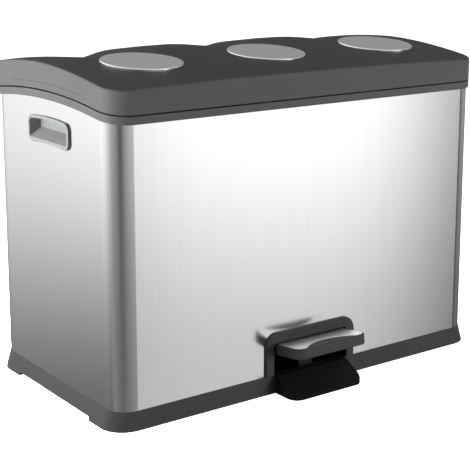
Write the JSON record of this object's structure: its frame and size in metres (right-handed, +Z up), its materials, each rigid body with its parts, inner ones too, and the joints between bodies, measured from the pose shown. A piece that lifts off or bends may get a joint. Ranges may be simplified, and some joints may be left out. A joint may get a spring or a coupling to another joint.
{
  "type": "recycling pedal bin",
  "caption": "Wide stainless-steel pedal bin for sorted waste: one hinged black lid with round steel discs over side-by-side buckets, side grips and a foot pedal.",
  "frame": {"origin": "on the floor, below the middle of the whole bin with its pedal", "axes": "+X to the right along the long side, +Y to the back, +Z up; the pedal is at the front, -Y"},
  "size_m": [0.595, 0.3582, 0.4335],
  "materials": {
    "body_wrap": "vertical brushed stainless sheet",
    "back_panel": "fine grained black",
    "base_tray": "satin black",
    "foot_pads": "soft grey-black rubber",
    "foot_ramp": "satin black",
    "floor_plate": "plain black",
    "rim_frame": "satin black",
    "lid_bumpers": "soft rubber",
    "hinge_pins": "bright ground pin",
    "pedal_surround": "satin black",
    "grip_left": "satin dark grey",
    "grip_right": "satin dark grey",
    "pivot_bracket": "zinc plated",
    "pedal_pin": "bright ground pin",
    "rod_guide_lower": "plain black",
    "rod_guide_upper": "plain black",
    "damper_cylinder": "plain dark grey",
    "damper_clamp": "plain black",
    "base_screws": "zinc plated",
    "back_screws": "zinc plated",
    "bracket_screws": "zinc plated",
    "guide_screws": "zinc plated",
    "bucket_left": "plain dark grey polypropylene",
    "bucket_middle": "plain dark grey polypropylene",
    "bucket_right": "plain dark grey polypropylene",
    "bail_left": "bright wire",
    "bail_middle": "bright wire",
    "bail_right": "bright wire",
    "lid_shell": "satin black",
    "lid_liner": "plain black",
    "lid_crank": "dark grey nylon",
    "crank_pin": "bright ground pin",
    "lid_trim_left": "satin black",
    "lid_trim_right": "satin black",
    "liner_screws": "zinc plated",
    "disc_left": "brushed disc with a polished rim",
    "disc_middle": "brushed disc with a polished rim",
    "disc_right": "brushed disc with a polished rim",
    "lift_rod": "bright rod",
    "rod_foot": "zinc plated",
    "rod_pad": "white nylon",
    "crosshead": "dark grey nylon",
    "damper_piston": "bright rod",
    "pedal_lever": "zinc plated pressed steel",
    "pedal_body": "satin black",
    "tread_plate": "brushed stainless",
    "lever_shoe": "white nylon",
    "shoe_rivet": "zinc plated",
    "pedal_screws": "zinc plated"
  },
  "bodies": {
    "body": {"body_wrap": "body_wrap", "back_panel": "back_panel", "base_tray": "base_tray", "foot_pads": "foot_pads", "foot_ramp": "foot_ramp", "floor_plate": "floor_plate", "rim_frame": "rim_frame", "lid_bumpers": "lid_bumpers", "hinge_pins": "hinge_pins", "pedal_surround": "pedal_surround", "grip_left": "grip_left", "grip_right": "grip_right", "pivot_bracket": "pivot_bracket", "pedal_pin": "pedal_pin", "rod_guide_lower": "rod_guide_lower", "rod_guide_upper": "rod_guide_upper", "damper_cylinder": "damper_cylinder", "damper_clamp": "damper_clamp", "base_screws": "base_screws", "back_screws": "back_screws", "bracket_screws": "bracket_screws", "guide_screws": "guide_screws", "bucket_left": "bucket_left", "bucket_middle": "bucket_middle", "bucket_right": "bucket_right", "bail_left": "bail_left", "bail_middle": "bail_middle", "bail_right": "bail_right"},
    "lid": {"lid_shell": "lid_shell", "lid_liner": "lid_liner", "lid_crank": "lid_crank", "crank_pin": "crank_pin", "lid_trim_left": "lid_trim_left", "lid_trim_right": "lid_trim_right", "liner_screws": "liner_screws", "disc_left": "disc_left", "disc_middle": "disc_middle", "disc_right": "disc_right"},
    "lift": {"lift_rod": "lift_rod", "rod_foot": "rod_foot", "rod_pad": "rod_pad", "crosshead": "crosshead", "damper_piston": "damper_piston"},
    "pedal": {"pedal_lever": "pedal_lever", "pedal_body": "pedal_body", "tread_plate": "tread_plate", "lever_shoe": "lever_shoe", "shoe_rivet": "shoe_rivet", "pedal_screws": "pedal_screws"}
  },
  "joints": [
    {"name": "lid_hinge", "type": "hinge", "parent": "body", "child": "lid", "pos_m": [0, 0.16988, 0.387], "axis": [-1, 0, 0], "range_deg": [0, 75]},
    {"name": "rod_lift", "type": "slide", "parent": "body", "child": "lift", "axis": [0, 0, 1], "range_m": [0, 0.0208]},
    {"name": "pedal_press", "type": "hinge", "parent": "body", "child": "pedal", "pos_m": [0, -0.01712, 0.022], "axis": [1, 0, 0], "range_deg": [0, 7.05]}
  ],
  "couplings": [
    {"joint": "rod_lift", "follows": "lid_hinge", "m_per_rad": 0.015814},
    {"joint": "pedal_press", "follows": "lid_hinge", "ratio": 0.093333}
  ]
}
